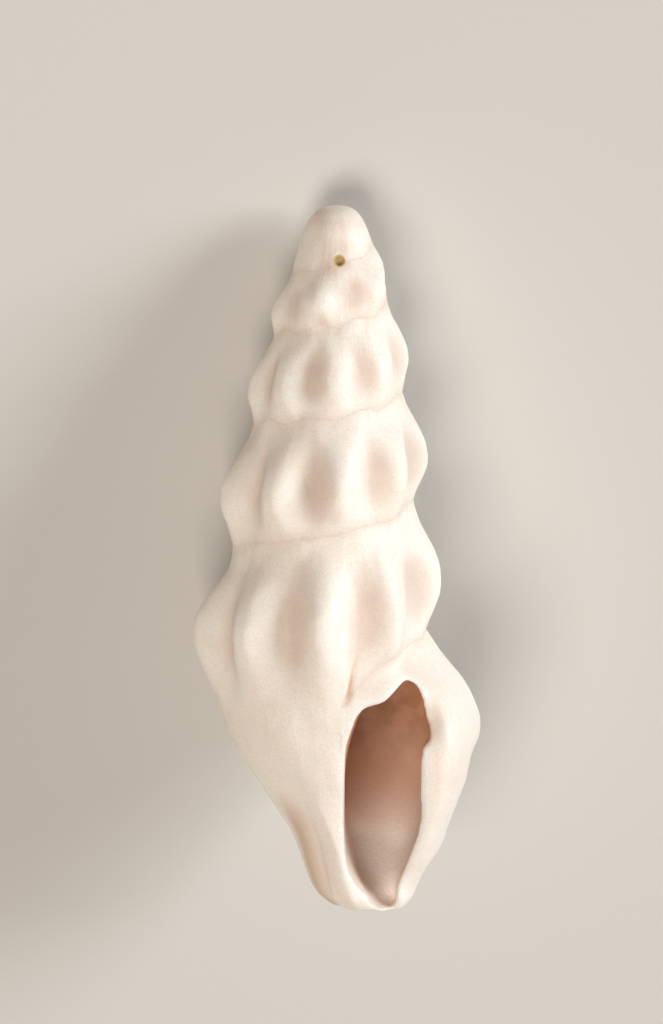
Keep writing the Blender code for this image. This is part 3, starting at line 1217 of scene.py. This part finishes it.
@dataclass(frozen=True)
class DrillHole:
    """The small round hole that a boring snail left in a first whorl."""

    across: float = 0.07
    front: float = 0.70
    depth: float = 0.86
    outer_radius: float = 0.125
    inner_radius: float = 0.075
    reach: float = 0.09
    far: float = 1.0
    lead: float = 0.12
    tilt: float = math.radians(11.0)
    sides: int = 32

    def beside(self, points: np.ndarray) -> np.ndarray:
        """Distance from the hole's axis, with the back of the shell far off.

        Args:
            points: The points, one per row.

        Returns:
            The distance for each point, up to the farthest that counts.
        """
        axis = np.array((0.0, -math.cos(self.tilt), math.sin(self.tilt)))
        offset = points - np.array((self.across, -self.front, -self.depth))
        along = offset @ axis
        away = np.linalg.norm(offset - along[:, None] * axis, axis=1)
        return np.where(along < -self.front, self.far, away).clip(0.0, self.far)

    def build(self) -> bpy.types.Object:
        """Make the tapered cutter.

        Returns:
            The cutter object.
        """
        bm = bmesh.new()
        bmesh.ops.create_cone(
            bm,
            cap_ends=True,
            segments=self.sides,
            radius1=self.inner_radius,
            radius2=self.outer_radius,
            depth=self.reach + self.lead,
        )
        outwards = Matrix.Rotation(math.pi / 2.0 - self.tilt, 4, "X")
        middle = (self.lead - self.reach) / 2.0
        start = Vector((self.across, -self.front, -self.depth))
        bm.transform(Matrix.Translation(start) @ outwards @ Matrix.Translation((0.0, 0.0, middle)))
        return add_object("drill", mesh_of("drill", bm))


def srgb(code: str) -> tuple[float, float, float, float]:
    """Linear colour from an sRGB hex code, by the standard's own curve."""
    parts = [int(code[i : i + 2], 16) / 255.0 for i in (1, 3, 5)]
    return tuple(p / 12.92 if p <= 0.04045 else ((p + 0.055) / 1.055) ** 2.4 for p in parts) + (1.0,)


@dataclass(frozen=True)
class Grain:
    """Noise of a size.

    Attributes:
        size: Size of its features, in millimetres.
        detail: How many finer layers it has.
    """

    size: float
    detail: float

    def at(self, tree: bpy.types.NodeTree, place: bpy.types.NodeSocket) -> Field:
        """The noise at a place given in metres."""
        inputs = {"Vector": place, "Scale": 1.0 / (self.size * MM), "Detail": self.detail}
        return Field(tree, add_node(tree, "ShaderNodeTexNoise", inputs).outputs["Fac"])


@dataclass(frozen=True)
class Coat:
    """A colour that lies over the ones before it.

    Attributes:
        colour: The colour, as an sRGB hex code.
        span: Where its mark starts to show it and where it shows in full. A falling
            span shows it where the mark is low. Without one the mark says how much shows.
        share: How much of it shows at most.
        clouded: How much more of it shows where the clouds are thick.
    """

    colour: str
    span: tuple[float, float] | None = None
    share: float = 1.0
    clouded: float = 0.0

    def mask(self, mark: Field, cloud: Field) -> Field:
        """How much of the colour shows.

        Args:
            mark: The mark that the coat follows.
            cloud: The clouds.

        Returns:
            A share of 1.
        """
        shown = soft_step(mark, self.span) if self.span else mark
        if self.clouded:
            return shown * (self.share + self.clouded * cloud)
        return shown * self.share


@dataclass(frozen=True)
class GlossyAragonite:
    """Turrid shell: crossed-lamellar aragonite, laid down by the animal and worn by sand.

    The eye sees a chalky white body that light enters and leaves warm, a soft gloss
    on the crests with painted highlight on their lit flanks, beige in the hollows
    between the ribs from a deposit there and from painted shade, painted shade in the
    bay, the crease and beside the columella's fold, and a lining deep in the aperture
    that browns towards its top and pales on its back wall. Depths and distances are in
    millimetres, the reach of light and the height of the grain in metres.
    """

    body: str = "#fbf5ec"
    # Near-white: the callus's own white, and the painted highlight on the crests.
    worn: str = "#fffcf4"
    # Beige: deposit and painted shade in the grooves, and the tone of growth lines and specks.
    shade: str = "#d1ae97"
    rosy: str = "#f3e3d9"
    # Beige: stains by the spots and the drill hole, and painted shade in the bay, the crease and
    # beside the fold.
    film_and_shade: str = "#c9b193"
    # Outside, from rib crests to the hollows: crests painted whiter as highlight, hollows beige from a
    # deposit and from painted shade.
    # Painted highlight: crests whiter on the flank that the key lamp lights.
    crest: Coat = Coat(worn, (0.25, 0.9), 0.9)
    # Grooves darker: a deposit in the hollows and painted shade on the flank away from the key lamp.
    groove: Coat = Coat(shade, (0.25, 1.0), 0.12, 0.5)
    suture: Coat = Coat("#e6d5c6", None, 0.15, 0.45)
    blush: Coat = Coat(rosy, (0.42, 0.72), 0.35)
    growth_line: Coat = Coat(shade, (0.5, 0.8), 0.12)
    film_spot: Coat = Coat(film_and_shade, (0.52, 0.75), 0.10)
    callus_edge: Coat = Coat(rosy, None, 0.3)
    callus: Coat = Coat(worn, (0.6, 0.95))
    # Painted shade in the sunken bay beside the aperture's top.
    bay: Coat = Coat(film_and_shade, (0.06, 0.20), 0.35)
    # Painted shade in a band beside the columella's fold groove.
    fold: Coat = Coat(film_and_shade, None, 0.8)
    # Painted shade along the crease.
    crease: Coat = Coat(film_and_shade, None, 0.9)
    speckle: Coat = Coat(shade, (0.35, 0.8), 0.20)
    # Lining, from where the surface lies inside the grown outside, by depth and by turn.
    inside: tuple[float, float] = (0.04, 0.12)
    lining_low: Coat = Coat("#fdf1e8")
    # Lining paint: browner towards the aperture's top, paler on the back wall deep in the hollow.
    lining_middle: Coat = Coat("#eac3a8", (11.6, 10.2))
    lining_top: Coat = Coat("#c98c66", (10.2, 8.5))
    lining_back: Coat = Coat("#fdebdc", (-0.10, -0.27), 0.75)
    ochre: Coat = Coat("#a9763f", (0.42, 0.62), 0.5)
    ochre_depths: tuple[float, float] = (10.6, 9.2)
    # Drill hole, by the distance from its axis.
    near_hole: tuple[float, float] = (0.5, 0.1)
    hole_stain: Coat = Coat(film_and_shade, (0.3, 0.6), 0.35)
    drilled: Coat = Coat("#cbb07c", (0.125, 0.10))
    drilled_core: Coat = Coat("#b4945a", (0.075, 0.035))
    # The shell's own crystals are far too fine to see. The specks are the finest a pixel can show.
    clouds: Grain = Grain(1.6, 3.0)
    spots: Grain = Grain(0.55, 3.0)
    grain: Grain = Grain(0.06, 2.0)
    specks: Grain = Grain(0.035, 1.0)
    lines_per_turn: float = 60.0
    line_detail: float = 3.0
    grain_height: float = 0.35
    line_height: float = 0.65
    bump: float = 0.5
    bump_height: float = 0.00003
    roughness: float = 0.46
    rough_grain: float = 0.16
    refraction: float = 1.55
    scatter: float = 0.35
    scatter_reach: float = 0.00022
    scatter_colours: tuple[float, float, float] = (1.0, 0.62, 0.42)

    def colour(
        self, tree: bpy.types.NodeTree, place: bpy.types.NodeSocket, streak: Field
    ) -> bpy.types.NodeSocket:
        """Lay the coats over each other.

        Args:
            tree: The material's node tree.
            place: The object's own coordinates.
            streak: The growth lines.

        Returns:
            The socket that gives the colour.
        """
        marks = {mark: mark_field(tree, mark) for mark in Mark}
        cloud = self.clouds.at(tree, place)
        spots = self.spots.at(tree, place)
        down = marks[Mark.DOWN]
        beside = marks[Mark.BESIDE_HOLE]
        inner = soft_step(marks[Mark.INSET] - marks[Mark.BAY], self.inside)
        layers = (
            (self.crest, marks[Mark.CREST]),
            (self.groove, marks[Mark.GROOVE]),
            (self.suture, marks[Mark.SUTURE]),
            (self.blush, cloud),
            (self.growth_line, streak),
            (self.film_spot, spots),
            (self.callus_edge, marks[Mark.CALLUS]),
            (self.callus, marks[Mark.CALLUS]),
            (self.bay, marks[Mark.BAY]),
            (self.fold, marks[Mark.FOLD]),
            (self.crease, marks[Mark.CREASE]),
            (self.hole_stain, spots, soft_step(beside, self.near_hole)),
            (self.lining_low, inner),
            (self.lining_middle, down, inner),
            (self.lining_top, down, inner),
            (self.lining_back, marks[Mark.GROWTH], inner),
            (self.ochre, spots, inner, soft_step(down, self.ochre_depths)),
            (self.speckle, self.specks.at(tree, place)),
            (self.drilled, beside),
            (self.drilled_core, beside),
        )
        colour = srgb(self.body)
        for coat, mark, *limits in layers:
            mask = coat.mask(mark, cloud)
            for limit in limits:
                mask = mask * limit
            inputs = {"Factor": mask, MIX_BELOW: colour, MIX_ABOVE: srgb(coat.colour)}
            colour = add_node(tree, "ShaderNodeMix", inputs, data_type="RGBA").outputs[2]
        return colour

    def material(self) -> bpy.types.Material:
        """Build the material.

        Returns:
            The material, which reads the shell's own attributes.
        """
        made = bpy.data.materials.new("glossy aragonite")
        made.use_nodes = True
        tree = made.node_tree
        tree.nodes.clear()
        place = add_node(tree, "ShaderNodeTexCoord").outputs["Object"]
        grown = mark_field(tree, Mark.GROWTH) * self.lines_per_turn
        along = add_node(tree, "ShaderNodeCombineXYZ", {0: grown, 1: mark_field(tree, Mark.DOWN)})
        lines = {"Vector": along.outputs[0], "Scale": 1.0, "Detail": self.line_detail}
        streak = Field(tree, add_node(tree, "ShaderNodeTexNoise", lines).outputs["Fac"])
        grain = self.grain.at(tree, place)
        relief = {
            "Strength": self.bump,
            "Distance": self.bump_height,
            "Height": grain * self.grain_height + streak * self.line_height,
        }
        surface = {
            "Base Color": self.colour(tree, place, streak),
            "Roughness": self.roughness + self.rough_grain * grain,
            "IOR": self.refraction,
            "Subsurface Weight": self.scatter,
            "Subsurface Radius": self.scatter_colours,
            "Subsurface Scale": self.scatter_reach,
            "Normal": add_node(tree, "ShaderNodeBump", relief).outputs[0],
        }
        shader = add_node(tree, "ShaderNodeBsdfPrincipled", surface)
        add_node(tree, "ShaderNodeOutputMaterial", {"Surface": shader.outputs[0]})
        return made


def mark_field(tree: bpy.types.NodeTree, mark: Mark) -> Field:
    """What the shell's points carry under a mark, for a material."""
    node = add_node(tree, "ShaderNodeAttribute", attribute_name=mark.value)
    return Field(tree, node.outputs["Fac"])


@dataclass(frozen=True)
class Shell:
    """The whole shell, one grown piece, from its rule to its place on the floor."""

    growth: Growth
    outside: Outside
    hollow: Hollow
    fissure: Fissure
    bay: Bay
    drill: DrillHole
    finish: GlossyAragonite
    # Evening out of the mesh.
    voxel: float = 0.042
    most_triangles: int = 185000
    soft_rounds: int = 5
    soft_weight: float = 0.5
    rim_rounds: int = 4
    rim_reach: float = 0.15
    # Marks for the finish.
    callus_reach: tuple[float, float] = (0.06, 0.75)
    suture_width: float = 0.22
    # Turn of the crest and groove paint, which puts its painted highlight and painted shade on the
    # flanks that the key lamp lights and leaves dark.
    painted_light_shift: float = 0.012
    # Place and width of the painted shade beside the columella's fold.
    fold_shade_shift: float = 0.042
    fold_shade_width: float = 0.06
    low_ribs: tuple[float, float] = (0.0, 0.2)
    far: float = 9.0
    # How it lies.
    flat: float = 0.02
    roll: float = math.radians(5.05)
    pitch: float = math.radians(11.57)

    def smooth(self, thing: bpy.types.Object) -> None:
        """Rebuild the mesh evenly, ease its steps and press in what is finer.

        Args:
            thing: The hollowed shell.
        """
        change = thing.modifiers.new("even", "REMESH")
        change.mode = "VOXEL"
        change.voxel_size = self.voxel
        keep_result(thing)
        mesh = thing.data
        relax(mesh, np.full(len(mesh.vertices), self.soft_weight), self.soft_rounds)
        away = distances(points_of(mesh), self.hollow.rim())
        near = np.clip(1.0 - away / self.rim_reach, 0.0, 1.0)
        relax(mesh, self.soft_weight * near, self.rim_rounds)
        self.fissure.press(mesh)
        self.bay.press(mesh)
        change = thing.modifiers.new("thin", "DECIMATE")
        change.ratio = min(1.0, self.most_triangles / (2.0 * len(mesh.polygons)))
        keep_result(thing)

    def marks_tree(self) -> bpy.types.NodeTree:
        """Node tree that notes on every point where it lies in the growth rule.

        Returns:
            The tree.
        """
        grow = self.growth
        tree, given = new_tree("shell marks", {"Material": "NodeSocketMaterial"})
        place = add_node(tree, "GeometryNodeInputPosition")
        parts = add_node(tree, "ShaderNodeSeparateXYZ", {0: place.outputs[0]})
        x, y, z = (Field(tree, socket) for socket in parts.outputs)
        depth = -z
        across = x - grow.centre.at(depth)
        grown = x.math("ARCTAN2", y, across) * (-0.5 / math.pi)
        to_end = grow.end - grown
        last_turn = grow.end - to_end.math("FRACT", to_end)
        turn = grow.turn_at(last_turn, depth)
        share = grow.share_at(turn, depth)
        last_share = grow.last_share(last_turn, depth)
        on_last = grow.on_last(last_turn, turn)
        along_rib = choose(on_last, last_share * grow.last_rib_stretch, share)
        # Crest and groove marks, turned so that they carry painted highlight and painted shade.
        rib = grow.rib(turn + self.painted_light_shift, along_rib)
        on_body = grow.rib_strength(grow.last_rib_span, last_share)
        strength = choose(on_last, on_body, grow.rib_strength(grow.spire_rib_span, share))
        strength = strength * soft_step(grow.by_turn(grow.rib_heights, turn), self.low_ribs)
        above = depth - grow.suture(turn)
        below = grow.suture(turn + 1.0) - depth
        below = choose(on_last, below * 0.0 + self.far, below)
        near = x.math("MINIMUM", above, below)
        # Band of painted shade beside the fold groove.
        film_turn = grow.fold_groove_turn + self.fold_shade_shift
        film_and_shade = soft_bump(grow.upright(last_turn, depth), film_turn, self.fold_shade_width)
        stored = {
            Mark.CREST: rib * strength,
            Mark.GROOVE: (1.0 - rib) * strength,
            Mark.SUTURE: 1.0 - soft_step(near, (0.0, self.suture_width)),
            Mark.GROWTH: turn,
            Mark.DOWN: depth,
            Mark.FOLD: film_and_shade * soft_step(depth, grow.fold_groove_depths),
            Mark.INSET: grow.radius(last_turn, depth) - power(across * across + y * y, 0.5),
        }
        mesh = given.outputs["Mesh"]
        settings = {"data_type": "FLOAT", "domain": "POINT"}
        for mark, value in stored.items():
            inputs = {"Geometry": mesh, "Name": mark.value, "Value": value}
            mesh = add_node(tree, "GeometryNodeStoreNamedAttribute", inputs, **settings).outputs[0]
        close_tree(tree, mesh, given.outputs["Material"])
        return tree

    def mark(self, thing: bpy.types.Object) -> None:
        """Give every point its marks and the shell its finish.

        Args:
            thing: The smoothed shell.
        """
        run_tree(thing, self.marks_tree(), {"Material": self.finish.material()})
        points = points_of(thing.data)
        away = distances(points, self.hollow.rim())
        callus = (away - self.callus_reach[0]) / np.ptp(self.callus_reach)
        noted = {
            Mark.CALLUS: 1.0 - np.clip(callus, 0.0, 1.0),
            Mark.CREASE: self.fissure.pressed(points),
            Mark.BAY: self.bay.sunk(points),
            Mark.BESIDE_HOLE: self.drill.beside(points),
        }
        for mark, values in noted.items():
            layer = thing.data.attributes.new(mark.value, "FLOAT", "POINT")
            layer.data.foreach_set("value", values.astype(np.float32))

    def lie_down(self) -> Matrix:
        """Turn from standing on the canal to lying with the aperture up.

        Returns:
            The turn.
        """
        over = Matrix(((1.0, 0.0, 0.0), (0.0, 0.0, 1.0), (0.0, -1.0, 0.0))).to_4x4()
        roll = Matrix.Rotation(-self.roll, 4, "Y")
        return Matrix.Rotation(-self.pitch, 4, "X") @ roll @ over

    def lay(self, thing: bpy.types.Object, low: Vector, high: Vector) -> Matrix:
        """Lay the shell in the frame's box, with its contact spots flat on the floor.

        Args:
            thing: The shell in its own millimetres.
            low: The box's lowest corner, in metres.
            high: The box's highest corner, in metres.

        Returns:
            The matrix from standing millimetres to the frame's metres.
        """
        turned = points_of(thing.data) @ np.array(self.lie_down().to_3x3()).T
        lowest, highest = turned.min(axis=0), turned.max(axis=0)
        size = np.array(high - low)
        scale = float(min(size[:2] / (highest - lowest)[:2]))
        target = np.array((low + high) / 2.0)
        anchor = (lowest + highest) / 2.0
        anchor[2] = highest[2]
        resting = low[2] + (highest - lowest)[2] * scale - self.flat * MM
        target[2] = min(high[2], resting)
        shift = Vector(target - anchor * scale)
        placed = Matrix.Translation(shift) @ Matrix.Scale(scale, 4) @ self.lie_down()
        thing.data.transform(placed)
        points = points_of(thing.data)
        points[:, 2] = points[:, 2].clip(low[2])
        move_points(thing.data, points)
        return placed

    def build(self, low: Vector, high: Vector) -> tuple[bpy.types.Object, Matrix]:
        """Grow, hollow, smooth, mark and lay down the shell.

        Args:
            low: The lowest corner of the CAD box.
            high: The highest corner of the CAD box.

        Returns:
            The finished object and the matrix that laid it down.
        """
        thing = self.outside.build()
        LOG.info("outside: %d faces", len(thing.data.polygons))
        cut(thing, self.hollow.build())
        self.smooth(thing)
        LOG.info("smoothed: %d faces", len(thing.data.polygons))
        cut(thing, self.drill.build())
        self.mark(thing)
        placed = self.lay(thing, low, high)
        thing.data.shade_smooth()
        thing.data.name = thing.name
        return thing, placed


def facing(towards: Vector, up: Vector) -> Matrix:
    """Rotation that looks back along a direction.

    Args:
        towards: The direction, from what is looked at.
        up: What is upwards in the view.

    Returns:
        The rotation.
    """
    right = up.cross(towards).normalized()
    straight = towards.cross(right)
    return Matrix((right, straight, towards)).transposed().to_4x4()


@dataclass(frozen=True)
class Lamp:
    """A soft square lamp.

    Attributes:
        name: Its name.
        way: Its direction from the shell, along image right, up and towards the camera.
        size: Its side in metres.
        power: Its power in watts.
        colour: Its colour, as an sRGB hex code.
        reach: Its distance in metres.
    """

    name: str
    way: tuple[float, float, float]
    size: float
    power: float
    colour: str
    reach: float = 0.40


@dataclass(frozen=True)
class Studio:
    """Pale floor, soft light and the camera of the photograph, in the frame's metres."""

    placed: Matrix
    view_pitch: float = math.radians(11.0)
    view_roll: float = 0.034
    apex_pixel: tuple[float, float] = (337.0, 207.0)
    middle_depth: float = 6.3
    distance: float = 0.4
    sensor: float = 24.0
    clip: tuple[float, float] = (0.01, 10.0)
    key: Lamp = Lamp("key", (0.95, 0.20, 0.43), 0.16, 1.32, "#fafdff")
    low: Lamp = Lamp("low", (-0.30, -0.70, 1.0), 0.22, 1.00, "#fff5ec")
    sky: float = 0.19
    sky_colour: str = "#f8e0cc"
    floor_size: float = 1.6
    floor_colour: str = "#d6d6d2"
    floor_roughness: float = 0.9

    def axes(self) -> tuple[Vector, Vector, Vector]:
        """Directions of the picture, in the frame.

        Returns:
            Image right, image up and the direction to the camera.
        """
        turn = self.placed.to_3x3().normalized()
        towards = Vector((0.0, -math.cos(self.view_pitch), math.sin(self.view_pitch)))
        up = Vector((0.0, math.sin(self.view_pitch), math.cos(self.view_pitch)))
        right = Vector((1.0, 0.0, 0.0))
        tilted_right = right * math.cos(self.view_roll) + up * math.sin(self.view_roll)
        tilted_up = up * math.cos(self.view_roll) - right * math.sin(self.view_roll)
        return tuple((turn @ axis).normalized() for axis in (tilted_right, tilted_up, towards))

    def target(self) -> Vector:
        """Middle of the picture, at the depth of the shell's own middle.

        Returns:
            The point that the camera looks at.
        """
        right, up, towards = self.axes()
        scale = self.placed.to_scale()[0] * MM_PER_PIXEL
        apex = self.placed @ Vector((0.0, 0.0, 0.0))
        sideways = (PHOTO_WIDTH / 2.0 - self.apex_pixel[0]) * scale
        down = (self.apex_pixel[1] - PHOTO_HEIGHT / 2.0) * scale
        middle = self.placed @ Vector((0.0, 0.0, -self.middle_depth))
        return apex + right * sideways + up * down + towards * (middle - apex).dot(towards)

    def camera(self) -> None:
        """Put the camera where the photograph was taken from."""
        _, up, towards = self.axes()
        data = bpy.data.cameras.new("camera")
        data.sensor_fit = "VERTICAL"
        data.sensor_height = self.sensor
        height = PHOTO_HEIGHT * MM_PER_PIXEL * self.placed.to_scale()[0]
        data.lens = self.sensor * self.distance / height
        data.clip_start, data.clip_end = self.clip
        view = add_object("camera", data)
        start = self.target() + towards * self.distance
        view.matrix_world = Matrix.Translation(start) @ facing(towards, up)
        bpy.context.scene.camera = view

    def hang(self, lamp: Lamp) -> None:
        """Hang a lamp.

        Args:
            lamp: The lamp.
        """
        right, up, towards = self.axes()
        away = (right * lamp.way[0] + up * lamp.way[1] + towards * lamp.way[2]).normalized()
        data = bpy.data.lights.new(lamp.name, "AREA")
        data.size = lamp.size
        data.energy = lamp.power
        data.color = srgb(lamp.colour)[:3]
        hung = add_object(lamp.name, data)
        start = self.target() + away * lamp.reach
        hung.matrix_world = Matrix.Translation(start) @ facing(away, up)

    def floor(self) -> bpy.types.Object:
        """Lay the pale floor.

        Returns:
            The floor.
        """
        bm = bmesh.new()
        bmesh.ops.create_grid(bm, x_segments=1, y_segments=1, size=self.floor_size / 2.0)
        mesh = bpy.data.meshes.new("floor")
        bm.to_mesh(mesh)
        bm.free()
        ground = add_object("floor", mesh)
        # Board painted matt: it takes the shell's shadow and throws back no glare.
        made = bpy.data.materials.new("matt studio board")
        made.use_nodes = True
        surface = made.node_tree.nodes["Principled BSDF"]
        surface.inputs["Base Color"].default_value = srgb(self.floor_colour)
        surface.inputs["Roughness"].default_value = self.floor_roughness
        mesh.materials.append(made)
        return ground

    def build(self) -> bpy.types.Object:
        """Set up the studio.

        Returns:
            The floor.
        """
        world = bpy.data.worlds.new("studio")
        world.use_nodes = True
        back = world.node_tree.nodes["Background"]
        back.inputs["Color"].default_value = srgb(self.sky_colour)
        back.inputs["Strength"].default_value = self.sky
        bpy.context.scene.world = world
        bpy.context.scene.view_settings.view_transform = "Standard"
        self.camera()
        for lamp in (self.key, self.low):
            self.hang(lamp)
        return self.floor()


def main() -> None:
    """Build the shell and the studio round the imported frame."""
    logging.basicConfig(level=logging.INFO, format="%(name)s: %(message)s")
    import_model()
    low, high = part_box("shell")
    growth = Growth()
    parts = (Outside(growth), Hollow(growth), Fissure(growth), Bay(), DrillHole())
    shell = Shell(growth, *parts, GlossyAragonite())
    piece, placed = shell.build(low, high)
    piece.name = "glazed_shell"
    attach(piece, "root")
    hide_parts("shell")
    LOG.info("%s: %d faces", piece.name, len(piece.data.polygons))
    floor = Studio(placed).build()
    LOG.info("floor, lamps and camera are set")


if __name__ == "__main__":
    main()
